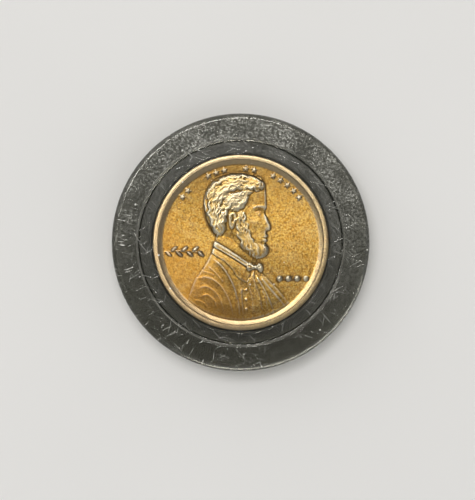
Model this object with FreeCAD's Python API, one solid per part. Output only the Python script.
import FreeCAD, Part
import math
import os

# Coin capsule: two round clear mouldings that push together round one small coin.
# Millimetres, +Z up. The origin is the centre of the face the capsule lies on.
# base_shell is the lower moulding, with a standing ring that is the coin's well.
# lid_shell is the upper moulding, whose socket fits over that ring.
# coin lies in the well, obverse up, and the lid's window stops it falling out.

V = FreeCAD.Vector
UP = V(0, 0, 1)

# ---- coin ----
COIN_R = 19.05 / 2
COIN_T = 1.52
RIM_FLAT = 0.52            # width of the raised rim
RIM_EDGE = 0.16            # rounding of the rim's outer corner
RIM_WALL = 0.05            # radial run of the steep wall inside the rim
BASIN_RUN = 0.50           # width of the gentle curve from that wall to the field
WALL_DROP = 0.07           # height of the steep wall
FIELD_DROP = 0.16          # the field lies this far below the rim, on both faces
BASIN_BOW = 0.28           # how far that curve sags below a straight slope, as a share of its height
BASIN_MIDDLE = 0.55        # where it sags most, as a share of its width

# ---- the coin's raised design, about its axis, +Y at its top ----
RELIEF = 0.11              # height above the field
CROWN, CHIN = 7.48, -1.20                # heights of the head's top and of the chin under the beard
FACE_UNIT = (CROWN - CHIN) / 3.5         # chin to nose, nose to brow and brow to hairline are one unit each
NOSE_BASE = CHIN + FACE_UNIT
BROW = CHIN + 2 * FACE_UNIT
EYE_LINE = (CROWN + CHIN) / 2
FACE_FRONT = 2.72                        # the upright line that the forehead touches
NOSE_OUT = 0.21 * FACE_UNIT              # how far the nose stands out from that line
NOSE_TIP_UP = 0.14 * FACE_UNIT           # how far its tip lies above its base
NOSE_ROOT = FACE_FRONT - 0.15 * FACE_UNIT
HEAD = (-0.7, 4.2, 3.45, 3.05, 70)       # ellipses: centre, half length, half width, tilt in degrees
FACE = (1.15, (BROW + NOSE_BASE) / 2, 2.75, 1.62, 84)
BEARD = (1.3, CHIN + 1.55, 1.75, 1.3, 35)
NOSE = [(NOSE_ROOT, EYE_LINE), (FACE_FRONT + NOSE_OUT, NOSE_BASE + NOSE_TIP_UP), (NOSE_ROOT, NOSE_BASE)]
SHOULDERS = [
    (-6.0, -5.6), (-5.5, -4.6), (-4.6, -2.8), (-3.6, -0.9), (-2.7, 1.4), (-0.6, 1.9),
    (1.0, -0.6), (1.7, -1.7), (3.0, -3.4), (4.6, -5.2), (5.6, -6.2),
]
CHEST_LOW = (0, -8.25)     # lowest point of the arc that closes the bust
STAR_RING_R, STAR_R = 8.00, 0.42
STAR_WAIST = 0.46          # radius of a star's inner corners, as a share of STAR_R
STAR_GROUPS = ((-52, 2), (-26, 3), (4, 2), (26, 5))    # first bearing from the top, and how many
STAR_PITCH = 6.6           # degrees
SPRIG_LEAVES, SPRIG_PITCH, SPRIG_AT = 7, 0.58, (-7.8, -0.97)
SPRIG_LONG, SPRIG_WIDE, SPRIG_LEAN, SPRIG_OUT = 0.86, 0.36, 40, 0.27
STEM_LONG, STEM_WIDE, STEM_AT = 4.1, 0.22, (-6.15, -0.97)
PELLETS, PELLET_PITCH, PELLET_R = 4, 0.95, 0.33
PELLETS_AT = (4.2, -3.9)
WREATH_R, WREATH_LEAVES, LEAF_LONG, LEAF_WIDE = 6.3, 11, 2.1, 0.85
WREATH_FIRST, WREATH_PITCH, WREATH_LEAN = 8, 14.2, 28      # degrees: from the bottom, apart, out of line
BOSS_R = 1.5

# ---- capsule ----
CAPSULE_R = 13.9
CAPSULE_T = 5.0
WINDOW_T = 1.40            # thickness of each clear window
WINDOW_SINK = 0.25         # the windows lie this far inside the outer faces
PARTING_Z = 2.2            # the flat face where the two mouldings meet
COIN_PLAY_R = 0.15         # radial room round the coin
COIN_PLAY_Z = 0.18         # room above the coin
RING_R = 11.08             # outside of the standing ring, at its root
FIT = 0.05                 # radial clearance between ring and socket at the parting face
DRAFT = math.radians(1.0)  # moulding draft on ring, socket and well
RING_TIP_GAP = 0.10        # between the ring's tip and the lid
STEP_RUN = 0.20            # radial run of the step from window to outer face
OUTER_FILLET = 0.50
PARTING_CHAMFER = 0.12
RING_TIP_CHAMFER = 0.20
WELL_CHAMFER = 0.22        # lead-in for the coin
SOCKET_CHAMFER = 0.15      # lead-in for the ring
SOCKET_FILLET = 0.12
STEP_FILLET = 0.08
GATE_R, GATE_DEEP = 0.33, 0.06     # moulding gate mark on the lid
GATE_AT_R, GATE_ANGLE = 12.95, math.radians(-102)

FLOOR_Z = WINDOW_SINK + WINDOW_T
COIN_TOP_Z = FLOOR_Z + COIN_T
LID_UNDER_Z = COIN_TOP_Z + COIN_PLAY_Z
RING_TOP_Z = LID_UNDER_Z - RING_TIP_GAP
STEP_R = RING_R + STEP_RUN / 2     # middle of the step in the outer faces
TOL = 1e-4


def lathe(outline):
    """Solid of revolution about Z of a closed outline of (radius, height) points."""
    wire = Part.makePolygon([V(r, 0, z) for r, z in outline + outline[:1]])
    return Part.Face(wire).revolve(V(0, 0, 0), UP, 360)


def circle_at(solid, radius, height):
    """The solid's circular edges about Z of that radius, at that height."""
    found = [
        e for e in solid.Edges
        if isinstance(e.Curve, Part.Circle)
        and abs(e.Curve.Radius - radius) < TOL
        and abs(e.Curve.Center.z - height) < TOL
    ]
    if not found:
        raise ValueError(f"no circle of radius {radius} at height {height}")
    return found


def rounded(solid, size, radius, height):
    """The solid with the circular edge there filleted."""
    return solid.makeFillet(size, circle_at(solid, radius, height))


def chamfered(solid, size, radius, height):
    """The solid with the circular edge there chamfered."""
    return solid.makeChamfer(size, circle_at(solid, radius, height))


def drafted(radius, climb):
    """A radius after climbing a drafted wall that leans outward by climb, or inward if it is negative."""
    return radius + climb * math.tan(DRAFT)


def base_shell():
    ring_tip_r = drafted(RING_R, PARTING_Z - RING_TOP_Z)
    well_floor_r = COIN_R + COIN_PLAY_R
    well_mouth_r = drafted(well_floor_r, RING_TOP_Z - FLOOR_Z)
    window_r, foot_r = STEP_R - STEP_RUN / 2, STEP_R + STEP_RUN / 2
    shell = lathe([
        (0, WINDOW_SINK),
        (window_r, WINDOW_SINK),
        (foot_r, 0),
        (CAPSULE_R, 0),
        (CAPSULE_R, PARTING_Z),
        (RING_R, PARTING_Z),
        (ring_tip_r, RING_TOP_Z),
        (well_mouth_r, RING_TOP_Z),
        (well_floor_r, FLOOR_Z),
        (0, FLOOR_Z),
    ])
    shell = rounded(shell, OUTER_FILLET, CAPSULE_R, 0)
    shell = rounded(shell, STEP_FILLET, foot_r, 0)
    shell = rounded(shell, STEP_FILLET, window_r, WINDOW_SINK)
    shell = chamfered(shell, PARTING_CHAMFER, CAPSULE_R, PARTING_Z)
    shell = chamfered(shell, RING_TIP_CHAMFER, ring_tip_r, RING_TOP_Z)
    return chamfered(shell, WELL_CHAMFER, well_mouth_r, RING_TOP_Z)


def lid_shell():
    socket_mouth_r = RING_R + FIT
    socket_root_r = drafted(socket_mouth_r, PARTING_Z - LID_UNDER_Z)
    window_r, rim_r = STEP_R - STEP_RUN / 2, STEP_R + STEP_RUN / 2
    window_top = CAPSULE_T - WINDOW_SINK
    shell = lathe([
        (0, LID_UNDER_Z),
        (socket_root_r, LID_UNDER_Z),
        (socket_mouth_r, PARTING_Z),
        (CAPSULE_R, PARTING_Z),
        (CAPSULE_R, CAPSULE_T),
        (rim_r, CAPSULE_T),
        (window_r, window_top),
        (0, window_top),
    ])
    shell = rounded(shell, OUTER_FILLET, CAPSULE_R, CAPSULE_T)
    shell = rounded(shell, STEP_FILLET, rim_r, CAPSULE_T)
    shell = rounded(shell, STEP_FILLET, window_r, window_top)
    shell = rounded(shell, SOCKET_FILLET, socket_root_r, LID_UNDER_Z)
    shell = chamfered(shell, PARTING_CHAMFER, CAPSULE_R, PARTING_Z)
    shell = chamfered(shell, SOCKET_CHAMFER, socket_mouth_r, PARTING_Z)
    gate_at = V(GATE_AT_R * math.cos(GATE_ANGLE), GATE_AT_R * math.sin(GATE_ANGLE), CAPSULE_T - GATE_DEEP)
    return shell.cut(Part.makeCylinder(GATE_R, 2 * GATE_DEEP, gate_at, UP))


# ---- the coin's raised design: flat wires at height 0, made into pads ----
def raised(wire):
    """A closed flat wire at height 0, as a pad of the relief's height that is rooted in the coin."""
    return Part.Face(wire).extrude(V(0, 0, RELIEF + FIELD_DROP)).translated(V(0, 0, -FIELD_DROP))


def star(x, y, turn):
    corners = []
    for i in range(10):
        radius = STAR_R if i % 2 == 0 else STAR_WAIST * STAR_R
        angle = turn + math.pi / 2 + i * math.pi / 5
        corners.append(V(x + radius * math.cos(angle), y + radius * math.sin(angle), 0))
    return raised(Part.makePolygon(corners + corners[:1]))


def leaf(x, y, long, wide, turn):
    """A pointed leaf between two arcs, centred at x, y."""
    def at(u, v):
        return V(x + u * math.cos(turn) - v * math.sin(turn), y + u * math.sin(turn) + v * math.cos(turn), 0)
    tips = at(-long / 2, 0), at(long / 2, 0)
    edges = [
        Part.Arc(tips[0], at(0, wide / 2), tips[1]).toShape(),
        Part.Arc(tips[1], at(0, -wide / 2), tips[0]).toShape(),
    ]
    return raised(Part.Wire(edges))


def ellipse(x, y, along, across, turn):
    """An elliptical pad centred at x, y, with its long axis turned by that many degrees."""
    shape = Part.Ellipse(V(0, 0, 0), along, across).toShape()
    shape.rotate(V(0, 0, 0), UP, turn)
    shape.translate(V(x, y, 0))
    return raised(Part.Wire([shape]))


def disc(x, y, radius):
    return raised(Part.Wire([Part.Circle(V(x, y, 0), UP, radius).toShape()]))


def bust():
    """A plain bust in profile: skull, face, beard, nose and shoulders as overlapping pads."""
    pads = [ellipse(*values) for values in (HEAD, FACE, BEARD)]
    pads.append(raised(Part.makePolygon([V(x, y, 0) for x, y in NOSE + NOSE[:1]])))
    shoulder_points = [V(x, y, 0) for x, y in SHOULDERS]
    shoulder_line = Part.BSplineCurve()
    shoulder_line.interpolate(shoulder_points)
    chest = Part.Arc(shoulder_points[-1], V(*CHEST_LOW, 0), shoulder_points[0])
    pads.append(raised(Part.Wire([shoulder_line.toShape(), chest.toShape()])))
    return pads


def obverse():
    """The bust, stars along the rim, a sprig at the left and pellets at the right."""
    pads = bust()
    for first, count in STAR_GROUPS:
        for i in range(count):
            bearing = math.radians(first + i * STAR_PITCH)
            pads.append(star(STAR_RING_R * math.sin(bearing), STAR_RING_R * math.cos(bearing), -bearing))
    pads.append(leaf(*STEM_AT, STEM_LONG, STEM_WIDE, 0))
    for i in range(SPRIG_LEAVES):
        side = 1 if i % 2 else -1
        x, y = SPRIG_AT[0] + i * SPRIG_PITCH, SPRIG_AT[1] + side * SPRIG_OUT
        pads.append(leaf(x, y, SPRIG_LONG, SPRIG_WIDE, math.radians(side * SPRIG_LEAN)))
    for i in range(PELLETS):
        pads.append(disc(PELLETS_AT[0] + i * PELLET_PITCH, PELLETS_AT[1], PELLET_R))
    return pads


def reverse():
    """A wreath of single leaves, open at the top, round a plain boss."""
    pads = [disc(0, 0, BOSS_R)]
    for side in (1, -1):
        for i in range(WREATH_LEAVES):
            bearing = side * math.radians(WREATH_FIRST + i * WREATH_PITCH)
            lean = math.radians(WREATH_LEAN if i % 2 else -WREATH_LEAN)
            x, y = WREATH_R * math.sin(bearing), -WREATH_R * math.cos(bearing)
            pads.append(leaf(x, y, LEAF_LONG, LEAF_WIDE, bearing + lean))
    return pads


def coin():
    bottom, top = FLOOR_Z, COIN_TOP_Z
    rim_in = COIN_R - RIM_FLAT
    wall_in = rim_in - RIM_WALL
    field_r = wall_in - BASIN_RUN

    def basin(face, away):
        """The edges from the rim's inner corner to the axis, on one face; away points into the coin."""
        field = face + away * FIELD_DROP
        wall_foot = face + away * WALL_DROP
        middle = V(field_r + BASIN_MIDDLE * BASIN_RUN, 0, field - away * BASIN_BOW * (FIELD_DROP - WALL_DROP))
        return [
            Part.makeLine(V(rim_in, 0, face), V(wall_in, 0, wall_foot)),
            Part.Arc(V(wall_in, 0, wall_foot), middle, V(field_r, 0, field)).toShape(),
            Part.makeLine(V(field_r, 0, field), V(0, 0, field)),
        ]

    edges = basin(bottom, 1) + basin(top, -1)
    edges += [
        Part.makeLine(V(rim_in, 0, bottom), V(COIN_R, 0, bottom)),
        Part.makeLine(V(COIN_R, 0, bottom), V(COIN_R, 0, top)),
        Part.makeLine(V(COIN_R, 0, top), V(rim_in, 0, top)),
        Part.makeLine(V(0, 0, bottom + FIELD_DROP), V(0, 0, top - FIELD_DROP)),
    ]
    section = Part.Face(Part.Wire(Part.__sortEdges__(edges)))
    blank = section.revolve(V(0, 0, 0), UP, 360)
    blank = rounded(blank, RIM_EDGE, COIN_R, bottom)
    blank = rounded(blank, RIM_EDGE, COIN_R, top)

    inside_rim = Part.makeCylinder(rim_in - RIM_EDGE, COIN_T, V(0, 0, bottom), UP)
    faces = []
    for pads, height, flip in ((obverse(), top - FIELD_DROP, False), (reverse(), bottom + FIELD_DROP, True)):
        design = pads[0].multiFuse(pads[1:])
        if flip:
            design.rotate(V(0, 0, 0), V(0, 1, 0), 180)
        design.translate(V(0, 0, height))
        faces.append(design.common(inside_rim))
    return blank.multiFuse(faces).removeSplitter()


def single_solid(shape):
    """The one solid in a boolean's result."""
    if len(shape.Solids) != 1:
        raise ValueError(f"expected one solid and got {len(shape.Solids)}")
    return shape.Solids[0]


def main():
    os.makedirs("parts", exist_ok=True)
    for make in (base_shell, lid_shell, coin):
        solid = single_solid(make())
        if not solid.isValid():
            raise ValueError(f"{make.__name__} is not a valid solid")
        solid.exportStep(f"parts/{make.__name__}.step")
        print(f"{make.__name__}: {solid.Volume:.1f} mm3, {len(solid.Faces)} faces")


main()
